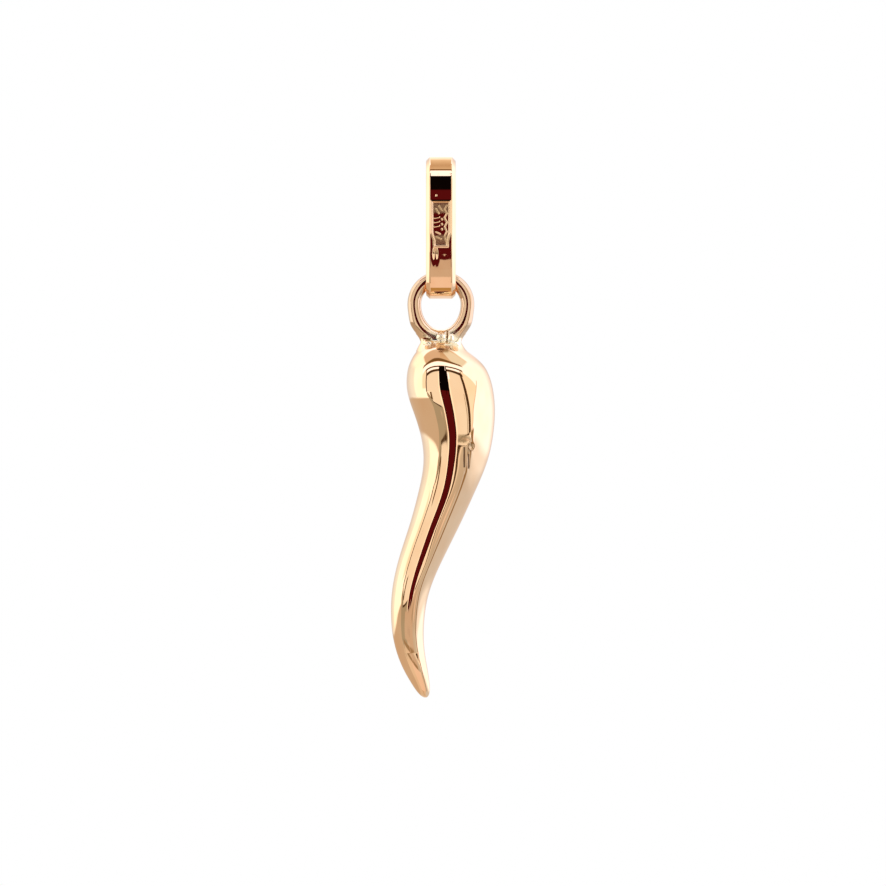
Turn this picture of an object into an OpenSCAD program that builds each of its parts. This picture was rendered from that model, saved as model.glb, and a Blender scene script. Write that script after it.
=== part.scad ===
// Horn charm with a ring soldered to its top, hung in a drop-shaped strap bail.
// Millimetres, +Z up, -Y to the front. The origin is where a chain lies in the bail.

/* [Horn] */
// Length of the horn from its top to its tip
horn_l = 21.6; // [16:0.1:32]
// Width of the horn across its shoulder
horn_w = 5.25; // [4:0.05:7]
// How far the tip bends to the back
tip_back = 0.55; // [0:0.05:1.5]

/* [Ring soldered on the horn] */
// Diameter of the ring's wire
ring_wire = 0.94; // [0.7:0.02:1.2]
// Room between the ring and each side of the strap
ring_room = 0.3; // [0.25:0.01:0.6]
// How far the ring's lower half is drawn out towards the solder
ring_drawn = 1.21; // [1:0.01:1.3]
// Height of the solder neck between the ring and the horn
neck_h = 0.26; // [0.1:0.02:0.8]

/* [Bail] */
// Length of the bail
bail_l = 8.65; // [7:0.05:12]
// Depth of the bail from front to back, across its upper bend
bail_d = 3.9; // [3.3:0.05:5]
// Outer radius of the bail's narrower lower bend
bend_r = 1.25; // [1.1:0.01:1.6]
// Width of the strap
strap_w = 1.8; // [1.4:0.02:2.4]
// Thickness of the strap
strap_t = 0.4; // [0.3:0.02:0.5]
// Width of the bevel along each outer edge of the strap
bevel = 0.22; // [0.1:0.01:0.3]

/* [Stamped panel] */
// Length of the bare panel sunk in the front of the strap
stamp_l = 2.7; // [1.5:0.1:3.2]
// Width of the panel
stamp_w = 1.1; // [0.6:0.05:1.3]
// Depth of the panel
stamp_t = 0.06; // [0.03:0.01:0.12]

/* [Fit] */
// Play between the ring and the bail that it hangs in
play = 0.06; // [0.04:0.01:0.12]

/* [Hidden] */

rose_gold = [0.93, 0.67, 0.49];
round_fn = 64;
section_fn = 24;
ring_steps = 48;

// Bail: a wide upper bend, a narrower lower one, and a slightly bowed side front and back that
// leaves the upper bend upright
top_r = bail_d / 2;
top_z = strap_t - top_r;
low_z = strap_t - bail_l + bend_r;
narrowing = top_r - bend_r;
side_r = bend_r + (pow(top_z - low_z, 2) + pow(narrowing, 2)) / (2 * narrowing);
side_shift = side_r - top_r;
side_angle = asin((top_z - low_z) / (side_r - bend_r));
stamp_z = strap_t - 0.48 * bail_l; // the panel lies a little above the middle
side_steps = 12;
bend_steps = 28;

// Ring, hung by its inside on the two edges of the strap
strap_edge = strap_w / 2;
ring_hole = strap_edge + ring_room;
ring_r = ring_hole + ring_wire / 2;
ring_out = ring_hole + ring_wire;
ring_z = 2 * strap_t - bail_l - sqrt(pow(ring_hole, 2) - pow(strap_edge, 2)) + play;

// Neck and horn
neck_t = 0.8 * ring_wire;
neck_bury = 0.3;                   // depth to which the neck runs into the horn
flare_angle = 62;                  // where the neck leaves the ring, from straight down
horn_z = ring_z - ring_out - neck_h;

// Sections of the horn from its top to its tip: place along the horn as a share of horn_l,
// then shift to the side, width and depth as shares of horn_w
AT = 0;
SHIFT = 1;
WIDE = 2;
DEEP = 3;
horn_rows = [
    [0,      0,      0.47,  0.38],
    [0.02,   0.005,  0.58,  0.48],
    [0.045,  0.045,  0.80,  0.70],
    [0.085,  0.08,   0.945, 0.86],
    [0.135,  0.11,   1,     0.93],
    [0.20,   0.16,   0.935, 0.88],
    [0.25,   0.185,  0.855, 0.81],
    [0.33,   0.17,   0.745, 0.71],
    [0.42,   0.065,  0.655, 0.61],
    [0.51,  -0.07,   0.585, 0.54],
    [0.60,  -0.22,   0.52,  0.485],
    [0.70,  -0.35,   0.435, 0.42],
    [0.78,  -0.385,  0.385, 0.38],
    [0.86,  -0.36,   0.335, 0.33],
    [0.92,  -0.295,  0.28,  0.265],
    [0.965, -0.23,   0.20,  0.19],
    [0.99,  -0.195,  0.12,  0.11],
    [1,     -0.18,   0.035, 0.03],
];
neck_w = horn_rows[0][WIDE] * horn_w;
bend_from = 0.625;                 // the share of horn_l where the horn starts to bend back
horn_sides = 48;
horn_steps = 4;                    // rings from one row of the table to the next

// Slope of a column at row i, and its smooth value between the rows
function slope(rows, col, i) =
    let (a = max(i - 1, 0), b = min(i + 1, len(rows) - 1))
    (rows[b][col] - rows[a][col]) / (rows[b][AT] - rows[a][AT]);

function between(rows, col, i, t) =
    let (gap = rows[i + 1][AT] - rows[i][AT])
    rows[i][col] * (1 + 2 * t) * pow(1 - t, 2)
    + slope(rows, col, i) * gap * t * pow(1 - t, 2)
    + rows[i + 1][col] * t * t * (3 - 2 * t)
    - slope(rows, col, i + 1) * gap * t * t * (1 - t);

// One oval ring of points across the horn
function horn_ring(i, t) =
    let (
        x = horn_w * between(horn_rows, SHIFT, i, t),
        half_w = horn_w / 2 * between(horn_rows, WIDE, i, t),
        half_d = horn_w / 2 * between(horn_rows, DEEP, i, t),
        at = between(horn_rows, AT, i, t),
        y = tip_back * pow(max(at - bend_from, 0) / (1 - bend_from), 2)
    )
    [
        for (k = [0 : horn_sides - 1])
            let (a = 360 * k / horn_sides)
            [x + half_w * cos(a), y + half_d * sin(a), -horn_l * at]
    ];

// Faces of a skin from one ring of n points to the next, where the rings start at a and b
function band(a, b, n) = [
    for (i = [0 : n - 1])
        let (j = (i + 1) % n)
        each [[a + i, a + j, b + j], [a + i, b + j, b + i]]
];

// A closed skin over rings of points: a tube with flat ends, or a loop
module skin(rings, loop = false) {
    n = len(rings[0]);
    m = len(rings);
    ends = [[for (i = [n - 1 : -1 : 0]) i], [for (i = [0 : n - 1]) (m - 1) * n + i]];
    bands = [for (k = [0 : m - 2]) each band(k * n, (k + 1) * n, n)];
    polyhedron(
        [for (ring = rings) each ring],
        concat(bands, loop ? band((m - 1) * n, 0, n) : ends)
    );
}

module horn_body() {
    last = len(horn_rows) - 2;
    skin([
        for (i = [0 : last], k = [0 : horn_steps - 1]) horn_ring(i, k / horn_steps),
        horn_ring(last, 1)
    ]);
}

// One section across the ring's wire, at an angle from the ring's side towards its top
function wire_section(a) =
    let (
        drawn = sin(a) < 0 ? ring_drawn : 1,
        out = [drawn * cos(a), sin(a)] / norm([drawn * cos(a), sin(a)])
    )
    [
        for (k = [0 : section_fn - 1])
            let (b = 360 * k / section_fn, off = ring_wire / 2 * cos(b))
            [
                ring_r * cos(a) + off * out[0],
                -ring_wire / 2 * sin(b),
                ring_r * drawn * sin(a) + off * out[1]
            ]
    ];

module ring() {
    skin([for (k = [0 : ring_steps - 1]) wire_section(360 * k / ring_steps)], loop = true);
}

// Solder neck: it leaves the lower half of the ring and runs into the top of the horn
module neck() {
    foot = -ring_out - neck_h;
    flare_x = ring_out * sin(flare_angle);
    flare_z = -ring_out * cos(flare_angle);
    rotate([90, 0, 0])
        linear_extrude(neck_t, center = true)
            difference() {
                polygon([
                    [-flare_x, flare_z],
                    [-neck_w / 2, foot],
                    [-neck_w / 2, foot - neck_bury],
                    [neck_w / 2, foot - neck_bury],
                    [neck_w / 2, foot],
                    [flare_x, flare_z],
                ]);
                scale([1, ring_drawn])
                    circle(r = ring_r, $fn = round_fn);
            }
}

// The horn and its ring, soldered into one piece
module horn() {
    color(rose_gold) {
        translate([0, 0, horn_z])
            horn_body();
        translate([0, 0, ring_z]) {
            ring();
            neck();
        }
    }
}

// Corners of the strap's section: place across the strap, then depth below its outer face
strap_section = [
    [strap_edge, strap_t],
    [strap_edge, bevel],
    [strap_edge - bevel, 0],
    [bevel - strap_edge, 0],
    [-strap_edge, bevel],
    [-strap_edge, strap_t],
];

// Sections along one arc of the strap. Angles run from the front (-Y) towards the top.
function strap_arc(centre, radius, from, to, steps) = [
    for (k = [0 : steps - 1])
        let (a = from + (to - from) * k / steps)
        [for (p = strap_section) centre + [p[0], -(radius - p[1]) * cos(a), (radius - p[1]) * sin(a)]]
];

// The closed strap: front, upper bend, back and lower bend
module strap_loop() {
    skin(concat(
        strap_arc([0, side_shift, top_z], side_r, -side_angle, 0, side_steps),
        strap_arc([0, 0, top_z], top_r, 0, 180, bend_steps),
        strap_arc([0, -side_shift, top_z], side_r, 180, 180 + side_angle, side_steps),
        strap_arc([0, 0, low_z], bend_r, 180 + side_angle, 360 - side_angle, bend_steps)
    ), loop = true);
}

// Cutter for the panel, bent to the front of the strap
module stamp() {
    half_angle = stamp_l / side_r * 90 / PI;
    below = asin((top_z - stamp_z) / side_r);
    translate([0, side_shift, top_z])
        rotate([0, 90, 0])
            rotate([0, 0, below - 90 - half_angle])
                rotate_extrude(angle = 2 * half_angle, $fn = round_fn)
                    translate([side_r - stamp_t, -stamp_w / 2])
                        square([strap_t, stamp_w]);
}

// The bail: one strap bent to a closed drop, with a bare stamped panel in front
module bail() {
    color(rose_gold)
        difference() {
            strap_loop();
            stamp();
        }
}

horn();
bail();
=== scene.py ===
"""Horn pendant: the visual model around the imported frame, with its studio and camera."""
import math

import bpy
import numpy as np
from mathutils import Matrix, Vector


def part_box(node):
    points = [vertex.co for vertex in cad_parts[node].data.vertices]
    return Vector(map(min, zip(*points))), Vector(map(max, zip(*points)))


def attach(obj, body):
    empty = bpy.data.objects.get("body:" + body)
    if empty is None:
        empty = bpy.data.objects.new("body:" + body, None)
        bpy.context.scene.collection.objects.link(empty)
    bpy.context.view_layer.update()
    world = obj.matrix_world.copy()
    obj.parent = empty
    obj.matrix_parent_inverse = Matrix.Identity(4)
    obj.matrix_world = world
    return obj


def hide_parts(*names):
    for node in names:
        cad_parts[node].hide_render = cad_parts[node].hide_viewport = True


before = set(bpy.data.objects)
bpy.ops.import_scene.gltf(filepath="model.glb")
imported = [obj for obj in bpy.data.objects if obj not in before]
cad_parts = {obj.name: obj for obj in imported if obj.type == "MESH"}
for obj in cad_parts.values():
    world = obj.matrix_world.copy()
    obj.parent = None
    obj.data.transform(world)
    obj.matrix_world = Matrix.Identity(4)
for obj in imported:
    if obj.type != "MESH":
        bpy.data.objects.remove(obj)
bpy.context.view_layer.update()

# Sizes are in millimetres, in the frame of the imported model, and turn to metres in make_mesh()
MM = 0.001


def node_box(node):
    """Lowest and highest corner of a node, in millimetres."""
    low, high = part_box(node)
    return np.array(low) / MM, np.array(high) / MM


# The frame's own sizes
horn_low, horn_high = node_box("horn")
bail_low, bail_high = node_box("bail")
BAIL_L = bail_high[2] - bail_low[2]
BAIL_D = bail_high[1] - bail_low[1]
STRAP_W = bail_high[0] - bail_low[0]

# Sizes that the frame's boxes don't show
STRAP_T = 0.4
BEND_R = 1.25
BEVEL = 0.22
EDGE_R = 0.05
RING_WIRE = 0.94
# The wire is a little thinner at the ring's top and sides than near the solder. It starts to
# widen a little below the ring's middle and is at its full width THICKENS lower.
THIN_WIRE = 0.84
THIN_DOWN = 0.4
THICKENS = 1.0
RING_ROOM = 0.3
NECK_H = 0.26

RING_HOLE = STRAP_W / 2 + RING_ROOM
RING_R = RING_HOLE + RING_WIRE / 2
RING_OUT = RING_HOLE + RING_WIRE
RING_Z = horn_high[2] - RING_OUT
HORN_TOP = RING_Z - RING_OUT - NECK_H
HORN_L = HORN_TOP - horn_low[2]
HORN_W = 5.25

# Sections of the horn from its top to its tip: place along the horn as a share of its length,
# then shift to the side, width and depth as shares of HORN_W, and how far the front ridge lies
# from the middle of the width. The first row closes the dome under the solder.
HORN_ROWS = [
    (-0.012, 0.000, 0.00, 0.000, -0.010),
    (0.000, 0.000, 0.34, 0.290, -0.010),
    (0.020, 0.012, 0.574, 0.490, -0.015),
    (0.045, 0.045, 0.775, 0.662, -0.020),
    (0.063, 0.064, 0.875, 0.757, -0.022),
    (0.085, 0.080, 0.945, 0.837, -0.028),
    (0.135, 0.110, 1.000, 0.935, -0.048),
    (0.200, 0.160, 0.935, 0.895, -0.055),
    (0.260, 0.186, 0.840, 0.823, -0.050),
    (0.330, 0.170, 0.745, 0.736, -0.049),
    (0.420, 0.065, 0.655, 0.641, -0.010),
    (0.510, -0.070, 0.585, 0.562, -0.010),
    (0.600, -0.220, 0.520, 0.495, 0.010),
    (0.700, -0.350, 0.435, 0.444, 0.015),
    (0.780, -0.385, 0.385, 0.364, 0.010),
    (0.860, -0.360, 0.335, 0.288, 0.000),
    (0.920, -0.295, 0.280, 0.221, 0.000),
    (0.965, -0.230, 0.200, 0.153, 0.000),
    (0.990, -0.195, 0.120, 0.098, 0.000),
    (1.001, -0.180, 0.000, 0.000, 0.000),
]


def spline(at, values):
    """Natural cubic spline through (at, values). Past its ends it runs on straight."""
    at, values = np.array(at), np.array(values)
    n = len(at)
    gap = np.diff(at)
    matrix = np.eye(n)
    right = np.zeros(n)
    for i in range(1, n - 1):
        matrix[i, i - 1 : i + 2] = gap[i - 1], 2 * (gap[i - 1] + gap[i]), gap[i]
        ahead, behind = values[i + 1] - values[i], values[i] - values[i - 1]
        right[i] = 6 * (ahead / gap[i] - behind / gap[i - 1])
    bend = np.linalg.solve(matrix, right)

    def value(x):
        i = np.clip(np.searchsorted(at, x) - 1, 0, n - 2)
        inside = np.clip(x, at[0], at[-1])
        a, b = (at[i + 1] - inside) / gap[i], (inside - at[i]) / gap[i]
        curve = a * values[i] + b * values[i + 1]
        curve += ((a**3 - a) * bend[i] + (b**3 - b) * bend[i + 1]) * gap[i] ** 2 / 6
        start = (values[1] - values[0]) / gap[0] - gap[0] * bend[1] / 6
        stop = (values[-1] - values[-2]) / gap[-1] + gap[-1] * bend[-2] / 6
        return curve + np.minimum(x - at[0], 0) * start + np.maximum(x - at[-1], 0) * stop

    return value


rows = np.array(HORN_ROWS)
row_z = (HORN_TOP - rows[:, 0] * HORN_L)[::-1]
horn_shift = spline(row_z, (rows[:, 1] * HORN_W)[::-1])
horn_width2 = spline(row_z, ((rows[:, 2] * HORN_W / 2) ** 2)[::-1])
horn_depth2 = spline(row_z, ((rows[:, 3] * HORN_W / 2) ** 2)[::-1])
horn_ridge = spline(row_z, (rows[:, 4] * HORN_W)[::-1])
# Step for slopes, a value that keeps divisors off zero, and the limits that keep the sections
# sound past the ends of the horn
FINE = 0.02
TINY = 1e-9
LEAST_DEPTH2 = 1e-4
LEAST_WIDTH2 = 0.01
RATIO_LOW, RATIO_HIGH = 0.7, 1.4
SKIN_SOFT = 0.02

# The last part of the horn leans a little to the back
BEND_FROM = 0.625
TIP_BACK = 0.55
BEND_POWER = 1.7
# and its very end leans a little more
END_FROM = 0.83
END_BACK = 0.17
END_POWER = 1.6


def horn_ratio(z):
    """Width of the horn over its depth."""
    deep = horn_depth2(z)
    deep = np.where(np.abs(deep) < LEAST_DEPTH2, LEAST_DEPTH2, deep)
    return np.sqrt(np.clip(horn_width2(z) / deep, RATIO_LOW, RATIO_HIGH))


def horn_back(z):
    """How far the horn's middle line lies to the back."""
    share = (HORN_TOP - z) / HORN_L
    back = TIP_BACK * (np.clip(share - BEND_FROM, 0, None) / (1 - BEND_FROM)) ** BEND_POWER
    return back + END_BACK * (np.clip(share - END_FROM, 0, None) / (1 - END_FROM)) ** END_POWER


# Fields: each is negative inside, positive outside and near the distance in millimetres
def horn_field(x, y, z):
    """The horn with its dents."""
    w2 = horn_width2(z)
    steep = (horn_width2(z + FINE) - horn_width2(z - FINE)) / (2 * FINE)
    flat = (y - horn_back(z)) * horn_ratio(z)
    bow = np.clip(flat**2 / np.maximum(w2, LEAST_WIDTH2), 0, 1)
    u = x - horn_shift(z) - horn_ridge(z) * bow
    skin = (u**2 + flat**2 - w2) / np.sqrt(4 * (u**2 + flat**2) + steep**2 + SKIN_SOFT)
    return skin + dents(x, y, z)


# The lower half of the ring is drawn out to the solder
RING_DRAWN = 1.21
# Above 2, the wire's front is a little flatter than a round wire's
RING_FLAT = 2.15


def ring_field(x, y, z):
    """The ring, whose lower half is drawn out."""
    down = z - RING_Z
    drawn = np.where(down < 0, RING_DRAWN, 1.0)
    around = np.sqrt(x**2 + (down / drawn) ** 2) + TINY
    steep = np.sqrt(x**2 + (down / drawn**2) ** 2) / around + TINY
    low = np.clip((-THIN_DOWN - down) / THICKENS, 0, 1)
    wire_r = (THIN_WIRE + (RING_WIRE - THIN_WIRE) * low**2 * (3 - 2 * low)) / 2
    across = np.abs(around - RING_HOLE - wire_r) / steep
    return (across**RING_FLAT + np.abs(y) ** RING_FLAT + TINY) ** (1 / RING_FLAT) - wire_r


# Solder neck: height, half width and half depth of its sections, from the ring to the horn
NECK_ROWS = [
    (RING_Z - 1.80, 1.44, 0.36),
    (RING_Z - 2.00, 1.36, 0.44),
    (RING_Z - 2.20, 1.27, 0.50),
    (HORN_TOP + 0.10, 1.24, 0.54),
    (HORN_TOP - 0.10, 1.34, 0.64),
    (HORN_TOP - 0.40, 1.44, 0.80),
]
neck = np.array(NECK_ROWS)[::-1]
neck_wide = spline(neck[:, 0], neck[:, 1])
neck_deep = spline(neck[:, 0], neck[:, 2])
# Above 2, the neck's sections are squarer than an ellipse
NECK_SQUARE = 3


def neck_field(x, y, z):
    """The solder neck between the ring and the horn, open where the ring's hole is."""
    inside = np.clip(z, neck[0, 0], neck[-1, 0])
    a, b = np.abs(x) / neck_wide(inside), np.abs(y) / neck_deep(inside)
    body = ((a**NECK_SQUARE + b**NECK_SQUARE) ** (1 / NECK_SQUARE) - 1) * neck_deep(inside)
    hole = RING_R * RING_DRAWN - np.sqrt((x * RING_DRAWN) ** 2 + (z - RING_Z) ** 2)
    return np.maximum(np.maximum(body, hole), np.maximum(z - neck[-1, 0], neck[0, 0] - z))


# Lumps of solder on the front of the joint: middle and radius along each axis
LUMPS = [
    ((0.02, -0.33, RING_Z - 2.00), (0.29, 0.28, 0.27)),
    ((0.62, -0.31, RING_Z - 2.06), (0.19, 0.27, 0.29)),
    ((0.12, -0.40, RING_Z - 2.44), (0.60, 0.30, 0.13)),
    ((-0.76, -0.34, RING_Z - 2.34), (0.26, 0.32, 0.15)),
    ((-0.56, -0.52, RING_Z - 2.74), (0.20, 0.26, 0.24)),
]
# Scratches and the split of the ring, cut from one point to another: x and z, then radius
CUTS = [
    ((0.40, RING_Z - 1.66), (0.36, RING_Z - 2.44), 0.055),
    ((-1.04, RING_Z - 2.08), (-0.62, RING_Z - 2.14), 0.05),
    ((-0.46, RING_Z - 2.26), (-0.22, RING_Z - 2.32), 0.05),
]
CUT_FRONT = -0.15  # the cuts reach from the front to this place in y
# Dents on the front of the horn: x and z, radius along each, and depth
DENTS = [
    (1.50, -16.93, 0.24, 0.15, 0.036),
    (1.86, -17.25, 0.14, 0.17, 0.034),
    (1.70, -17.02, 0.08, 0.08, -0.016),
    (1.42, -17.90, 0.05, 0.55, 0.014),
    (1.68, -18.05, 0.05, 0.45, 0.014),
]
LUMP_SOFT = 1e-6  # keeps a lump's middle smooth
# How wide the soft seams between the parts are
LUMP_BLEND = 0.05
NECK_BLEND = 0.10
SOLDER_BLEND = 0.06
CUT_BLEND = 0.03
HORN_BLEND = 0.16


def dents(x, y, z):
    """Depth of the dents at each point."""
    depth = np.zeros(np.broadcast(x, y, z).shape)
    for dx, dz, rx, rz, deep in DENTS:
        spread = np.exp(-(((x - dx) / rx) ** 2) - ((z - dz) / rz) ** 2)
        depth = depth + np.where(y < 0, deep, 0) * spread
    return depth


def solder_field(x, y, z):
    """Lumps of solder, joined to one another."""
    whole = None
    for middle, radii in LUMPS:
        parts = [((v - m) / r) ** 2 for v, m, r in zip((x, y, z), middle, radii)]
        lump = (np.sqrt(sum(parts) + LUMP_SOFT) - 1) * min(radii)
        whole = lump if whole is None else joined(whole, lump, LUMP_BLEND)
    return whole


def segment_distance(x, z, start, stop):
    """Distance from each point to a straight line from start to stop."""
    (ax, az), (bx, bz) = start, stop
    dx, dz = bx - ax, bz - az
    t = np.clip(((x - ax) * dx + (z - az) * dz) / (dx**2 + dz**2), 0, 1)
    return np.sqrt((x - ax - t * dx) ** 2 + (z - az - t * dz) ** 2)


def cut_field(x, y, z):
    """Negative inside the grooves, which run along the front of the joint."""
    whole = None
    for start, stop, radius in CUTS:
        across = segment_distance(x, z, start, stop) - radius
        groove = np.maximum(across, y - CUT_FRONT)
        whole = groove if whole is None else np.minimum(whole, groove)
    return whole


def joined(a, b, blend):
    """Smooth union of two fields."""
    h = np.clip(0.5 + 0.5 * (b - a) / blend, 0, 1)
    return b + (a - b) * h - blend * h * (1 - h)


def pendant_field(x, y, z):
    """Horn, ring, neck and solder in one, with the cuts taken out."""
    metal = joined(ring_field(x, y, z), neck_field(x, y, z), NECK_BLEND)
    metal = joined(metal, solder_field(x, y, z), SOLDER_BLEND)
    metal = -joined(-metal, cut_field(x, y, z), CUT_BLEND)
    return joined(horn_field(x, y, z), metal, HORN_BLEND)


def gradient(field, p, step=0.01):
    """Gradient of a field at the points p, by central differences."""
    columns = []
    for axis in range(3):
        ahead, behind = p.copy(), p.copy()
        ahead[:, axis] += step
        behind[:, axis] -= step
        columns.append((field(*ahead.T) - field(*behind.T)) / (2 * step))
    return np.stack(columns, axis=1)


def onto(field, p, rounds):
    """Moves points onto the field's zero surface."""
    for _ in range(rounds):
        g = gradient(field, p)
        p = p - (field(*p.T) / np.maximum((g**2).sum(axis=1), TINY))[:, None] * g
    return p


def grid_line(low, high, fine_low, fine_high, fine, coarse):
    """Grid values from low to high, closer between fine_low and fine_high."""
    values = [low]
    while values[-1] < high:
        step = fine if fine_low <= values[-1] < fine_high else coarse
        values.append(values[-1] + step)
    return np.array(values)


def surface_net(field, axes):
    """Quads over the zero surface of a field, one point for each cell that the surface crosses."""
    inside = field(*np.meshgrid(*axes, indexing="ij")) < 0
    size = [n - 1 for n in inside.shape]
    corners = np.zeros(size, dtype=np.int8)
    for i, j, k in np.ndindex(2, 2, 2):
        corners += inside[i : size[0] + i, j : size[1] + j, k : size[2] + k]
    crossed = (corners > 0) & (corners < 8)
    index = np.full(crossed.shape, -1, dtype=np.int64)
    index[crossed] = np.arange(crossed.sum())
    middles = [(line[1:] + line[:-1]) / 2 for line in axes]
    points = np.stack([middles[a][cells] for a, cells in enumerate(np.nonzero(crossed))], axis=1)
    quads = []
    for axis in range(3):
        change = inside != np.roll(inside, -1, axis=axis)
        change[tuple(slice(-1, None) if a == axis else slice(None) for a in range(3))] = False
        where = np.stack(np.nonzero(change), axis=1)
        b, c = [a for a in range(3) if a != axis]
        if axis == 1:
            b, c = c, b
        corner = []
        for db, dc in ((-1, -1), (0, -1), (0, 0), (-1, 0)):
            at = where.copy()
            at[:, b] += db
            at[:, c] += dc
            corner.append(index[tuple(at.T)])
        quad = np.stack(corner, axis=1)
        outward = inside[tuple(where.T)]
        quads.append(np.where(outward[:, None], quad, quad[:, ::-1]))
    return points, np.concatenate(quads)


def relaxed(points, quads, share):
    """Moves each point part of the way to the middle of its neighbours."""
    total, count = np.zeros_like(points), np.zeros(len(points))
    for i in range(4):
        a, b = quads[:, i], quads[:, (i + 1) % 4]
        for here, there in ((a, b), (b, a)):
            np.add.at(total, here, points[there])
            np.add.at(count, here, 1)
    return points + share * (total / np.maximum(count, 1)[:, None] - points)


def make_mesh(name, points, faces, normals=None):
    """An object of smooth faces from points in millimetres."""
    mesh = bpy.data.meshes.new(name)
    mesh.from_pydata((points * MM).tolist(), [], faces.tolist())
    mesh.shade_smooth()
    if normals is not None:
        mesh.normals_split_custom_set_from_vertices(normals.tolist())
    piece = bpy.data.objects.new(name, mesh)
    bpy.context.scene.collection.objects.link(piece)
    return piece


# Grid along x, y and z: the stretch with small cells round the ring and the solder, then the size
# of the small cells and of the others
GRID = [
    (-1.8, 1.8, 0.052, 0.07),
    (-1.4, 0.6, 0.052, 0.08),
    (HORN_TOP - 1.2, HORN_TOP + 1.3, 0.042, 0.085),
]
GRID_MARGIN = 0.2
RELAX_ROUNDS = 3
RELAX_SHARE = 0.5
LAST_ROUNDS = 3


def pendant_piece():
    """Horn, solder neck and ring, as one skin."""
    cell = 1.0
    axes = [
        grid_line(low, high, start, stop, fine * cell, coarse * cell)
        for low, high, (start, stop, fine, coarse) in zip(
            horn_low - GRID_MARGIN, horn_high + GRID_MARGIN, GRID
        )
    ]
    points, quads = surface_net(pendant_field, axes)
    for _ in range(RELAX_ROUNDS):
        points = onto(pendant_field, relaxed(points, quads, RELAX_SHARE), 1)
    points = onto(pendant_field, points, LAST_ROUNDS)
    normals = gradient(pendant_field, points)
    normals /= np.linalg.norm(normals, axis=1)[:, None]
    return make_mesh("horn_skin", points, quads, normals)


# Bail: a wide upper bend, a narrower lower one, and a slightly bowed side front and back
TOP_R = BAIL_D / 2
TOP_Z = bail_high[2] - TOP_R
LOW_Z = bail_low[2] + BEND_R
SIDE_R = BEND_R + ((TOP_Z - LOW_Z) ** 2 + (TOP_R - BEND_R) ** 2) / (2 * (TOP_R - BEND_R))
SIDE_SHIFT = SIDE_R - TOP_R
SIDE_ANGLE = math.asin((TOP_Z - LOW_Z) / (SIDE_R - BEND_R))
# centre in y and z, radius, and the angles from the front towards the top
BAIL_ARCS = [
    (SIDE_SHIFT, TOP_Z, SIDE_R, -SIDE_ANGLE, 0.0),
    (0.0, TOP_Z, TOP_R, 0.0, math.pi),
    (-SIDE_SHIFT, TOP_Z, SIDE_R, math.pi, math.pi + SIDE_ANGLE),
    (0.0, LOW_Z, BEND_R, math.pi + SIDE_ANGLE, 2 * math.pi - SIDE_ANGLE),
]
# Steps of the mesh: on the strap's front and round its section, and everywhere else
FRONT_STEP = 0.02
PLAIN_STEP = 0.1
ROUND_POINTS = 6  # on each rounded edge
BACK_MOST = 12  # most points along the inner face
ON_FACE = 0.01  # how near the inner face a point counts as on it
FACE_DEPTH = 0.001  # and how near the outer face


def bail_stations():
    """Centre (y, z), radius and angle of each section along the strap, and if it is in front."""
    stations = []
    for number, (cy, cz, radius, start, stop) in enumerate(BAIL_ARCS):
        step = FRONT_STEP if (number == 0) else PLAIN_STEP
        count = math.ceil(radius * (stop - start) / step)
        for k in range(count):
            angle = start + (stop - start) * k / count
            stations.append((cy, cz, radius, angle, number == 0))
    return stations


def strap_section():
    """Points (across, depth) round the strap's section, closely set on its front."""
    half = STRAP_W / 2
    corners = [
        (half, STRAP_T),
        (half, BEVEL),
        (half - BEVEL, 0.0),
        (BEVEL - half, 0.0),
        (-half, BEVEL),
        (-half, STRAP_T),
    ]
    outline = []
    for i, corner in enumerate(corners):
        corner = np.array(corner)
        before = np.array(corners[i - 1]) - corner
        after = np.array(corners[(i + 1) % len(corners)]) - corner
        before /= np.linalg.norm(before)
        after /= np.linalg.norm(after)
        for t in np.linspace(0, 1, ROUND_POINTS):
            # a short parabola in place of each corner
            outline.append(corner + EDGE_R * ((1 - t) ** 2 * before + t**2 * after))
    spaced = []
    step = FRONT_STEP
    for i, p in enumerate(outline):
        q = outline[(i + 1) % len(outline)]
        count = max(1, math.ceil(np.linalg.norm(q - p) / step))
        if p[1] > STRAP_T - ON_FACE and q[1] > STRAP_T - ON_FACE:
            count = min(count, BACK_MOST)
        spaced += [p + (q - p) * k / count for k in range(count)]
    return np.array(spaced)


# The stamped panel: a sunk field with a raised rim and plain geometric marks that say nothing
STAMP_DOWN = 0.48  # place of its middle, as a share of the bail's length
STAMP_Z = bail_high[2] - STAMP_DOWN * BAIL_L
STAMP_L, STAMP_W, STAMP_T = 2.7, 1.1, 0.055
# The panel narrows towards its foot, by STAMP_TAPER on each side, over TAPER_L below TAPER_FROM
STAMP_TAPER, TAPER_FROM, TAPER_L = 0.15, 0.55, 0.5
STAMP_EDGE = 0.08  # width of the slope at the panel's edge
RIM_H, RIM_R, RIM_OUT = 0.022, 0.045, 0.01
MARK_H, MARK_R = 0.020, 0.030
FAR = 9.0  # farther than any mark
# Ridges on the panel, from point to point: across and up from its middle
MARKS = [
    [(0.36, 1.10), (0.22, 0.86), (0.37, 0.62), (0.22, 0.36), (0.37, 0.08), (0.24, -0.20)],
    [(0.24, -0.20), (0.36, -0.50), (0.22, -0.78), (0.30, -1.06)],
    [(-0.12, 1.08), (0.06, 0.80)],
    [(-0.30, 0.90), (-0.12, 0.62)],
    [(-0.40, 0.34), (-0.10, 0.40)],
    [(-0.40, 0.08), (-0.10, 0.14)],
    [(-0.40, -0.18), (-0.10, -0.12)],
    [(0.06, 0.30), (0.08, 0.24)],
    [(0.06, 0.00), (0.08, -0.06)],
    [(0.06, -0.30), (0.08, -0.36)],
    [(-0.30, -0.50), (-0.04, -0.62)],
    [(-0.28, -0.80), (0.02, -0.92)],
]
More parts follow.
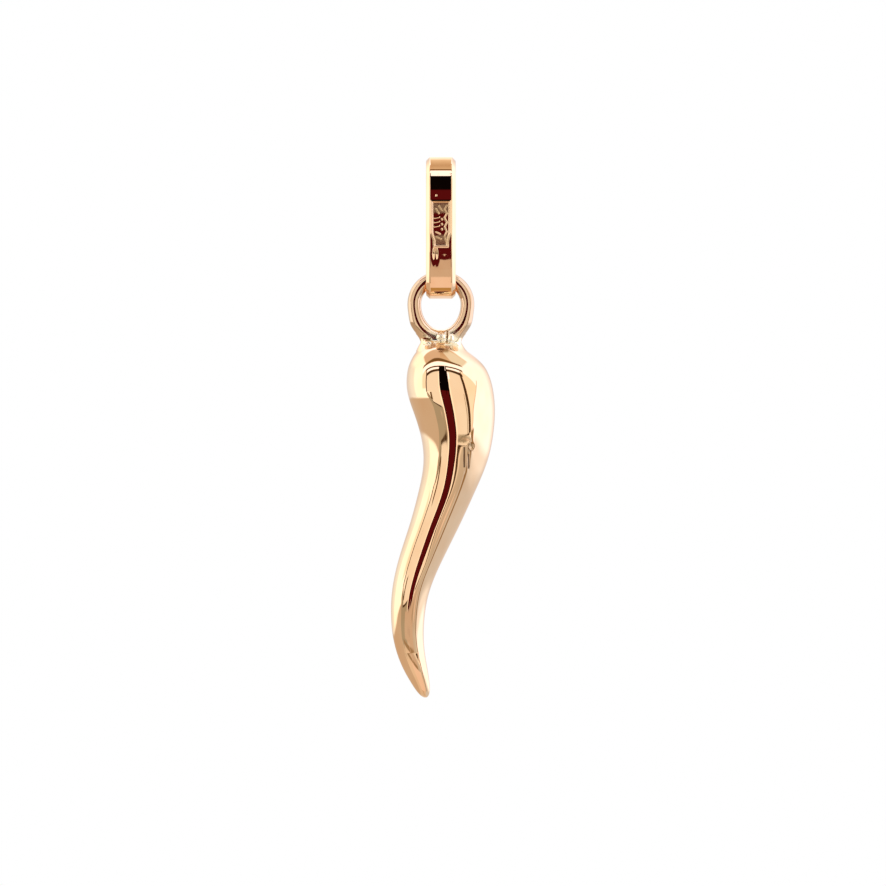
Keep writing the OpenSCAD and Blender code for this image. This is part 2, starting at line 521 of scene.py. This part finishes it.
# Wear on the front of the strap: x and z, radius along each, and depth
STRAP_DENTS = [
    (-0.34, -5.55, 0.13, 0.42, 0.034),
    (-0.27, -2.04, 0.04, 0.07, 0.014),
    (0.22, -5.72, 0.16, 0.10, 0.0035),
    (0.40, -1.10, 0.10, 0.05, 0.006),
]


def strap_relief(x, z):
    """How far the front of the strap is sunk at each point."""
    up = z - STAMP_Z
    half = STAMP_W / 2 - STAMP_TAPER * np.clip(-TAPER_FROM - up, 0, TAPER_L) / TAPER_L
    inside = np.minimum(half - np.abs(x), STAMP_L / 2 - np.abs(up))
    sunk = np.clip(inside / STAMP_EDGE, 0, 1)
    depth = STAMP_T * sunk - RIM_H * np.exp(-(((inside + RIM_OUT) / RIM_R) ** 2))
    nearest = np.full(np.shape(x), FAR)
    for line in MARKS:
        for start, stop in zip(line, line[1:]):
            nearest = np.minimum(nearest, segment_distance(x, up, start, stop))
    depth = depth - MARK_H * sunk * np.exp(-((nearest / MARK_R) ** 2))
    for dx, dz, rx, rz, deep in STRAP_DENTS:
        depth = depth + deep * np.exp(-(((x - dx) / rx) ** 2) - ((z - dz) / rz) ** 2)
    return depth


def bail_piece():
    """The strap, swept round its four arcs."""
    section = strap_section()
    stations = bail_stations()
    n, m = len(section), len(stations)
    points = []
    face = section[:, 1] < FACE_DEPTH
    for cy, cz, radius, angle, in_front in stations:
        depth = section[:, 1].copy()
        if in_front:
            here = np.full(face.sum(), cz + radius * math.sin(angle))
            depth[face] += strap_relief(section[face, 0], here)
        r = radius - depth
        points += zip(section[:, 0], cy - r * math.cos(angle), cz + r * math.sin(angle))
    a = np.arange(m)[:, None] * n + np.arange(n)[None, :]
    b = np.roll(a, -1, axis=1)
    faces = np.stack([a, np.roll(a, -1, axis=0), np.roll(b, -1, axis=0), b], axis=-1).reshape(-1, 4)
    return make_mesh("bail_skin", np.array(points), faces)


def socket_value(tree, socket, value):
    """Sets a socket to a number, or links another socket to it."""
    if isinstance(value, bpy.types.NodeSocket):
        tree.links.new(value, socket)
    else:
        socket.default_value = value


def math_node(tree, operation, a, b=0.0):
    """One sum on two numbers or sockets."""
    node = tree.nodes.new("ShaderNodeMath")
    node.operation = operation
    socket_value(tree, node.inputs[0], a)
    socket_value(tree, node.inputs[1], b)
    return node.outputs[0]


def ramp_node(tree, value, low, high, start=0.0, stop=1.0, smooth=True):
    """A step from start to stop while the value runs from low to high."""
    node = tree.nodes.new("ShaderNodeMapRange")
    node.interpolation_type = "SMOOTHSTEP" if smooth else "LINEAR"
    socket_value(tree, node.inputs["Value"], value)
    for name, number in zip(("From Min", "From Max", "To Min", "To Max"), (low, high, start, stop)):
        node.inputs[name].default_value = number
    return node.outputs["Result"]


def between_node(tree, value, low, high, soft):
    """1 where the value lies between low and high, 0 outside."""
    rise = ramp_node(tree, value, low - soft / 2, low + soft / 2)
    fall = ramp_node(tree, value, high - soft / 2, high + soft / 2, 1.0, 0.0)
    return math_node(tree, "MULTIPLY", rise, fall)


def mix_node(tree, share, a, b):
    """Colour a turned into colour b by a share."""
    node = tree.nodes.new("ShaderNodeMix")
    node.data_type = "RGBA"
    socket_value(tree, node.inputs["Factor"], share)
    colours = [socket for socket in node.inputs if socket.type == "RGBA"]
    socket_value(tree, colours[0], a)
    socket_value(tree, colours[1], b)
    return [socket for socket in node.outputs if socket.type == "RGBA"][0]


# Colours of the metal
GOLD = (0.93, 0.66, 0.42, 1)
WARM_GOLD = (0.91, 0.61, 0.37, 1)
SOLDER = (0.98, 0.90, 0.69, 1)
STRUCK = (0.62, 0.43, 0.24, 1)
# A darker copy of the gold over the ring: painted shade for the darker reflections on the ring
RING_SHADE = (0.69, 0.48, 0.31, 1)
# Dark amber painted where the foot of the solder neck meets the dome: painted shade
NECK_FOOT_SHADE = (0.34, 0.17, 0.05, 1)
# Dark brown painted over the two dents on the horn's front: a painted dark reflection
DENT_REFLECTION = (0.42, 0.28, 0.14, 1)
# Near black painted along the two scratches below the dents: painted shade in the grooves
SCRATCH_SHADE = (0.10, 0.05, 0.025, 1)

# Noise over the metal: waves for each millimetre, stretch along each axis and detail
TINT_NOISE = (0.9, (1, 1, 0.5), 2)
SMEAR_NOISE = (2.4, (1, 1, 0.4), 3)
WAVE_NOISE = (0.75, (1, 1, 0.55), 1)
HAIR_NOISE = (11.0, (1, 1, 0.09), 1)
# and the range of the noise over which each one changes
TINT_RANGE = (0.35, 0.75)
SMEAR_RANGE = (0.35, 0.8)
POLISH, SMEARED = 0.015, 0.05  # roughness where it is cleanest and where it is most smeared
HAIR_HEIGHT = 0.00022
# Solder colour round the joint: full within the first radius, none past the second
SOLDER_FULL, SOLDER_END = 1.05, 1.45
SOLDER_RAGGED = 0.4  # how far the smears draw its edge in
SOLDER_ROUGH = 0.13
# The ring's darker colour, which is painted shade, starts and is full this far above the middle of
# the joint
RING_START, RING_FULL = -0.1, 0.5


def noise_node(tree, place, scale, stretch, detail):
    """Noise over the surface. The scale is in waves for each millimetre."""
    mapping = tree.nodes.new("ShaderNodeMapping")
    mapping.inputs["Scale"].default_value = [scale * s / MM for s in stretch]
    tree.links.new(place, mapping.inputs["Vector"])
    noise = tree.nodes.new("ShaderNodeTexNoise")
    noise.inputs["Scale"].default_value = 1
    noise.inputs["Detail"].default_value = detail
    tree.links.new(mapping.outputs[0], noise.inputs["Vector"])
    return noise.outputs["Fac"]


def box_share(tree, place, middle, half, soft):
    """1 inside an upright box, 0 outside, in millimetres."""
    split = tree.nodes.new("ShaderNodeSeparateXYZ")
    tree.links.new(place, split.inputs[0])
    share = 1.0
    for value, at, reach in zip(split.outputs, middle, half):
        off = math_node(tree, "ABSOLUTE", math_node(tree, "SUBTRACT", value, at * MM))
        side = ramp_node(tree, off, (reach - soft) * MM, (reach + soft) * MM, 1.0, 0.0)
        share = math_node(tree, "MULTIPLY", share, side)
    return share


def gold(name, wave, solder_at=None, marks=()):
    """Polished rose gold: soft waves of the polish, fine hair lines and a slightly uneven tint."""
    material = bpy.data.materials.new(name)
    material.use_nodes = True
    tree = material.node_tree
    shader = tree.nodes["Principled BSDF"]
    shader.inputs["Metallic"].default_value = 1
    place = tree.nodes.new("ShaderNodeTexCoord").outputs["Object"]
    tint = noise_node(tree, place, *TINT_NOISE)
    colour = mix_node(tree, ramp_node(tree, tint, *TINT_RANGE), GOLD, WARM_GOLD)
    smears = noise_node(tree, place, *SMEAR_NOISE)
    roughness = ramp_node(tree, smears, *SMEAR_RANGE, POLISH, SMEARED)
    if solder_at:
        height = tree.nodes.new("ShaderNodeSeparateXYZ")
        tree.links.new(place, height.inputs[0])
        # Painted shade: above the joint the metal turns to the ring's darker colour
        start, stop = (solder_at[2] + RING_START) * MM, (solder_at[2] + RING_FULL) * MM
        ring = ramp_node(tree, height.outputs[2], start, stop)
        colour = mix_node(tree, ring, colour, RING_SHADE)
        distance = tree.nodes.new("ShaderNodeVectorMath")
        distance.operation = "DISTANCE"
        tree.links.new(place, distance.inputs[0])
        distance.inputs[1].default_value = [v * MM for v in solder_at]
        ragged = math_node(tree, "MULTIPLY", smears, SOLDER_RAGGED * MM)
        wide = math_node(tree, "ADD", distance.outputs["Value"], ragged)
        share = ramp_node(tree, wide, SOLDER_FULL * MM, SOLDER_END * MM, 1.0, 0.0)
        colour = mix_node(tree, share, colour, SOLDER)
        rough = math_node(tree, "MULTIPLY", share, SOLDER_ROUGH)
        roughness = math_node(tree, "ADD", roughness, rough)
    for middle, half, soft, tone, strength, matt in marks:
        share = box_share(tree, place, middle, half, soft)
        colour = mix_node(tree, math_node(tree, "MULTIPLY", share, strength), colour, tone)
        roughness = math_node(tree, "ADD", roughness, math_node(tree, "MULTIPLY", share, matt))
    tree.links.new(colour, shader.inputs["Base Color"])
    tree.links.new(roughness, shader.inputs["Roughness"])
    normal = None
    for noise, height in ((WAVE_NOISE, wave), (HAIR_NOISE, HAIR_HEIGHT)):
        bump = tree.nodes.new("ShaderNodeBump")
        bump.inputs["Strength"].default_value = 1
        bump.inputs["Distance"].default_value = height * MM
        tree.links.new(noise_node(tree, place, *noise), bump.inputs["Height"])
        if normal is not None:
            tree.links.new(normal, bump.inputs["Normal"])
        normal = bump.outputs["Normal"]
    tree.links.new(normal, shader.inputs["Normal"])
    return material


horn_piece = pendant_piece()
# Marks in a material: middle and half size in millimetres, soft edge, colour, its share, roughness
horn_marks = [
    # The first two marks paint a dark reflection over the dents and make them a little rougher
    ((1.30, -2.0, -16.78), (0.27, 1.0, 0.24), 0.09, DENT_REFLECTION, 0.75, 0.12),
    ((1.80, -2.0, -17.30), (0.18, 1.0, 0.26), 0.08, DENT_REFLECTION, 0.75, 0.06),
    # The next two paint shade along the scratches
    ((1.42, -2.0, -17.90), (0.05, 1.0, 0.62), 0.03, SCRATCH_SHADE, 0.9, 0.05),
    ((1.68, -2.0, -18.15), (0.045, 1.0, 0.45), 0.03, SCRATCH_SHADE, 0.9, 0.05),
    # Painted shade under the foot of the neck, on top of the dome
    ((0.16, -1.0, HORN_TOP - 0.42), (0.30, 0.7, 0.13), 0.09, NECK_FOOT_SHADE, 0.85, 0.06),
    # The last mark turns the ring's lower part and the top of the solder partway back to plain
    # gold, so the painted shade there is lighter
    ((0.0, -0.3, RING_Z - 1.55), (1.5, 0.8, 0.42), 0.25, GOLD, 0.45, 0.08),
]
# Height of the polish's waves, and the middle of the solder joint
HORN_WAVE, BAIL_WAVE = 0.010, 0.001
JOINT = (0.1, -0.4, RING_Z - 2.2)
horn_piece.data.materials.append(gold("horn_gold", HORN_WAVE, JOINT, horn_marks))
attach(horn_piece, "horn")
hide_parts("horn")

strap_piece = bail_piece()
bail_marks = [
    ((0, -1.9, STAMP_Z + 0.95), (0.50, 0.3, 0.32), 0.12, STRUCK, 0.8, 0.26),
    ((0, -1.9, STAMP_Z - 0.98), (0.50, 0.3, 0.32), 0.12, STRUCK, 0.8, 0.26),
]
strap_piece.data.materials.append(gold("bail_gold", BAIL_WAVE, marks=bail_marks))
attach(strap_piece, "bail")
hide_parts("bail")

# Camera: level, straight from the front
PHOTO = 886
PIXELS_PER_MM = 16.4
VIEW_X, VIEW_Z = 0.13, -17.04
LENS, SENSOR = 200, 36
CLIP_START = 0.01  # metres
frame_width = PHOTO / PIXELS_PER_MM
camera = bpy.data.objects.new("camera", bpy.data.cameras.new("camera"))
camera.data.lens = LENS
camera.data.sensor_width = SENSOR
camera.location = (VIEW_X * MM, -frame_width * LENS / SENSOR * MM, VIEW_Z * MM)
camera.rotation_euler = (math.pi / 2, 0, 0)
camera.data.clip_start = CLIP_START
bpy.context.scene.collection.objects.link(camera)
bpy.context.scene.camera = camera

# Studio light by direction, in degrees: azimuth from the camera towards the right, and elevation.
# Brightness is in units of LIGHT, and each row is mixed over the rows before it.
LIGHT = 1.6
SKY = [
    (-90, (0.44, 0.37, 0.31)),
    (-34, (0.56, 0.48, 0.40)),
    (-23, (0.38, 0.35, 0.31)),
    (-17, (0.44, 0.42, 0.38)),
    (-11, (0.80, 0.78, 0.73)),
    (44, (0.80, 0.78, 0.73)),
    (56, (0.58, 0.47, 0.35)),
    (90, (0.40, 0.28, 0.18)),
]
# Colours of the light. White is a little blue, because gold takes blue away.
WHITE = (1.0, 1.0, 1.18)
IVORY = (1.0, 0.99, 0.99)
PALE = (0.66, 0.63, 0.585)
SAND = (0.78, 0.70, 0.62)
DUSK = (0.50, 0.47, 0.46)
GREY = (0.29, 0.265, 0.21)
BROWN = (0.22, 0.15, 0.08)
LINE = (0.05, 0.025, 0.008)
FOOT_LINE = (0.25, 0.18, 0.11)
RED = (0.062, 0.0035, 0.005)
EDGE = (0.012, 0.005, 0.003)
BLACK = (0.002, 0.001, 0.001)
DOME_TAN = (0.50, 0.39, 0.31)
DOME_PALE = (0.60, 0.60, 0.55)
SLATE = (0.45, 0.46, 0.49)
WALL_FOOT = (0.68, 0.71, 0.78)
COOL = (0.66, 0.73, 0.77)
FAINT = (0.55, 0.45, 0.36)
LOW_TAN = (0.42, 0.35, 0.285)
LOW_LINE = (0.10, 0.055, 0.02)
CEILING_LINE = (0.13, 0.07, 0.025)
FOOT_DUSK = (0.43, 0.35, 0.29)
PEACH = (0.61, 0.49, 0.43)
ROSE = (0.95, 0.86, 0.80)
BAIL_DUSK = (0.42, 0.33, 0.27)
BAIL_AMBER = (0.33, 0.20, 0.07)
FLOOR_GREY = (0.60, 0.58, 0.60)
# Panels, in the order in which they are painted: name, how their height is measured (FRONT: as a
# straight panel in front, SIDE: as a straight wall at the side), azimuth from and to, height from
# and to, soft edge, lean of the azimuth for each degree of elevation, slope of the height for each
# degree of azimuth, colour
FRONT, SIDE = "front", "side"
CARDS = [
    ("dome_left", FRONT, -105, -20, 70, 93, 2.5, 0.0, 0.0, DOME_TAN),
    ("dome_right", FRONT, 40, 114, 70, 100, 10.0, 0.0, 0.0, DOME_PALE),
    ("left_high", FRONT, -172, -70, 95, 145, 5.0, 0.0, 0.0, WHITE),
    ("right_high", FRONT, 62, 172, 102, 145, 6.0, 0.0, 0.0, WHITE),
    ("right_low", SIDE, 50, 172, -70, -20, 3.0, 0.0, 0.0, SLATE),
    ("left_wall", SIDE, -172, -60, -13, 48, 4.0, 0.0, 0.0, IVORY),
    ("left_edge", SIDE, -172, -108, -16, 24, 12.0, 0.0, 0.0, COOL),
    ("right_wall", SIDE, 50, 172, -20.5, 56, 4.0, 0.0, 0.0, WHITE),
    ("right_wall_foot", SIDE, 62, 150, -23, -15.5, 6.0, 0.0, 0.0, WALL_FOOT),
    ("back_left", SIDE, -220, -140, -90, 62, 50.0, 0.0, 0.0, DUSK),
    ("back_right", SIDE, 140, 220, -90, 62, 50.0, 0.0, 0.0, DUSK),
    ("left_side", FRONT, -72, -54, 14, 60, 8.0, 0.0, 0.0, SAND),
    ("left_cream", FRONT, -76, -56.5, -22, 14, 2.0, 0.0, 0.0, IVORY),
    ("right_side", FRONT, 10, 62, -21, 52, 2.5, 0.75, 0.0, SAND),
    ("right_faint", FRONT, 61.5, 63.5, -21, 70, 1.5, 0.75, 0.0, FAINT),
    ("left_low_wall", SIDE, -172, -46, -60, -14, 2.5, 0.0, 0.0, LOW_TAN),
    ("left_panel", FRONT, -57, -8, 9, 49, 1.5, 0.0, 0.1, PALE),
    ("left_low_panel", FRONT, -44.5, -8, -16.1, 12, 1.0, 0.0, 0.1, PALE),
    ("left_corner", FRONT, -58, -38, -96, -80.5, 1.2, 0.0, -1.39, GREY),
    ("left_corner_line", FRONT, -58, -43, -82, -78.8, 0.8, 0.0, -1.39, LINE),
    ("left_low", FRONT, -48, -12, -30, -16.1, 1.2, 0.0, 0.1, GREY),
    ("left_foot", FRONT, -44.5, -20, -17.2, -15.7, 0.8, 0.0, 0.1, LINE),
    ("left_line", FRONT, -59.5, -56, 0, 52, 1.2, 0.0, 0.0, LINE),
    ("left_low_line", FRONT, -47, -41.8, -16.5, 3, 1.2, 0.0, 0.0, LOW_LINE),
    ("right_panel", FRONT, 0, 46, -19, 46, 2.0, -0.15, 0.0, PALE),
    ("right_foot", FRONT, 8, 48, -20.2, -18.5, 0.8, 0.0, 0.0, LINE),
    ("right_inner", FRONT, 40.6, 41.8, -19, 8, 1.0, -0.15, 0.0, BROWN),
    ("right_line", FRONT, 44, 49.5, -19, 52, 1.2, -0.15, 0.0, LINE),
    ("right_low_line", FRONT, 50, 57, -60, -19, 2.0, -0.15, 0.0, BROWN),
    ("low_line", FRONT, -58, 46, 44.5, 48.5, 1.2, 0.0, 0.0, LINE),
    ("low_strip", FRONT, -57, 42, 49, 53, 1.2, 0.0, 0.0, WHITE),
    ("top_line", FRONT, -62, 50, 53, 56.5, 1.2, 0.0, 0.0, LINE),
    ("ceiling_strip", FRONT, -72, 58, 57, 67, 1.5, 0.0, 0.0, WHITE),
    ("ceiling_line", FRONT, -75, 60, 67.5, 73, 2.0, 0.0, 0.0, CEILING_LINE),
    ("foot_dusk", FRONT, -26, 30, -26.5, -22.3, 0.8, 0.0, 0.0, FOOT_DUSK),
    ("foot_peach", FRONT, -14, 40, -57, -30.5, 1.0, 0.0, 0.07, PEACH),
    ("foot_line", FRONT, -38, 26, -30.2, -27.2, 1.0, 0.0, 0.07, FOOT_LINE),
    ("gap_edges", FRONT, -17.5, 13, -22.3, 44, 1.0, -0.12, 0.0, ROSE),
    ("white_spot", FRONT, 8, 15, 34, 43, 2.5, -0.12, 0.0, WHITE),
    ("dark_gap", FRONT, -14.5, 10, -22.3, 55.5, 1.0, -0.12, 0.0, EDGE),
    ("red_core", FRONT, -12, 7, -22.3, 55.5, 2.0, -0.12, 0.0, RED),
    ("black_gap", FRONT, -14.5, 10, 11, 55.5, 2.0, -0.12, 0.0, BLACK),
    ("bail_strip", FRONT, -0.55, 0.55, 45, 64, 0.4, 0.0, 0.0, WHITE),
    ("bail_black", FRONT, -0.55, 0.55, 2.2, 12, 0.5, 0.0, 0.0, BLACK),
    ("bail_dusk", FRONT, -0.7, 0.7, -23, -19.8, 0.5, 0.0, 0.0, BAIL_DUSK),
    ("bail_peach", FRONT, -0.7, 0.7, -58, -25.5, 0.5, 0.0, 0.0, PEACH),
    ("bail_amber", FRONT, -4, 4, -89, -56, 2.0, 0.0, 0.0, BAIL_AMBER),
    ("bail_floor_left", FRONT, -184, -176, -168, -94, 2.0, 0.0, 0.0, FLOOR_GREY),
    ("bail_floor_right", FRONT, 176, 184, -168, -94, 2.0, 0.0, 0.0, FLOOR_GREY),
]
PLAIN_WHITE = (1, 1, 1, 1)


def studio_world():
    """World of soft boxes and dark gaps. The camera itself sees plain white behind the piece."""
    world = bpy.data.worlds.new("studio")
    world.use_nodes = True
    tree = world.node_tree
    place = tree.nodes.new("ShaderNodeTexCoord")
    split = tree.nodes.new("ShaderNodeSeparateXYZ")
    tree.links.new(place.outputs["Generated"], split.inputs[0])
    x, y, z = split.outputs
    to_camera = math_node(tree, "MULTIPLY", y, -1.0)
    azimuth = math_node(tree, "DEGREES", math_node(tree, "ARCTAN2", x, to_camera))
    elevation = math_node(tree, "DEGREES", math_node(tree, "ARCSINE", z))
    sideways = math_node(tree, "ABSOLUTE", x)
    height = {
        FRONT: math_node(tree, "DEGREES", math_node(tree, "ARCTAN2", z, to_camera)),
        SIDE: math_node(tree, "DEGREES", math_node(tree, "ARCTAN2", z, sideways)),
    }
    sky = tree.nodes.new("ShaderNodeValToRGB")
    stops = sky.color_ramp.elements
    for number, (angle, colour) in enumerate(SKY):
        stop = stops[number] if number < 2 else stops.new(1.0)
        stop.position = (angle + 90) / 180
        stop.color = (*colour, 1)
    tree.links.new(ramp_node(tree, elevation, -90, 90, smooth=False), sky.inputs[0])
    light = sky.outputs["Color"]
    for _, measure, left, right, low, high, soft, lean, slope, colour in CARDS:
        across, up = azimuth, height[measure]
        if lean:
            leaning = math_node(tree, "MULTIPLY", elevation, lean)
            across = math_node(tree, "SUBTRACT", azimuth, leaning)
        if slope:
            sloping = math_node(tree, "MULTIPLY", azimuth, slope)
            up = math_node(tree, "SUBTRACT", up, sloping)
        share = math_node(
            tree,
            "MULTIPLY",
            between_node(tree, across, left, right, soft),
            between_node(tree, up, low, high, soft),
        )
        light = mix_node(tree, share, light, (*colour, 1))
    studio = tree.nodes["Background"]
    tree.links.new(light, studio.inputs["Color"])
    studio.inputs["Strength"].default_value = LIGHT
    plain = tree.nodes.new("ShaderNodeBackground")
    plain.inputs["Color"].default_value = PLAIN_WHITE
    path = tree.nodes.new("ShaderNodeLightPath")
    choice = tree.nodes.new("ShaderNodeMixShader")
    tree.links.new(path.outputs["Is Camera Ray"], choice.inputs[0])
    tree.links.new(studio.outputs[0], choice.inputs[1])
    tree.links.new(plain.outputs[0], choice.inputs[2])
    tree.links.new(choice.outputs[0], tree.nodes["World Output"].inputs["Surface"])
    return world


# The floor lies so far below the tip that it hides nothing in a view from below
FLOOR_Z = -330
FLOOR_R = 380
FLOOR_SIDES = 64
FLOOR_COLOUR = (0.93, 0.93, 0.92, 1)
FLOOR_ROUGH = 0.7


def floor_disc():
    """Plain pale floor, well below the tip."""
    angles = [2 * math.pi * k / FLOOR_SIDES for k in range(FLOOR_SIDES)]
    points = [(FLOOR_R * math.cos(a), FLOOR_R * math.sin(a), FLOOR_Z) for a in angles]
    mesh = bpy.data.meshes.new("floor")
    mesh.from_pydata((np.array(points) * MM).tolist(), [], [list(range(FLOOR_SIDES))])
    floor = bpy.data.objects.new("floor", mesh)
    bpy.context.scene.collection.objects.link(floor)
    material = bpy.data.materials.new("floor_white")
    material.use_nodes = True
    shader = material.node_tree.nodes["Principled BSDF"]
    shader.inputs["Base Color"].default_value = FLOOR_COLOUR
    shader.inputs["Roughness"].default_value = FLOOR_ROUGH
    mesh.materials.append(material)
    floor.visible_glossy = False


floor_disc()
bpy.context.scene.world = studio_world()
bpy.context.scene.view_settings.view_transform = "Standard"
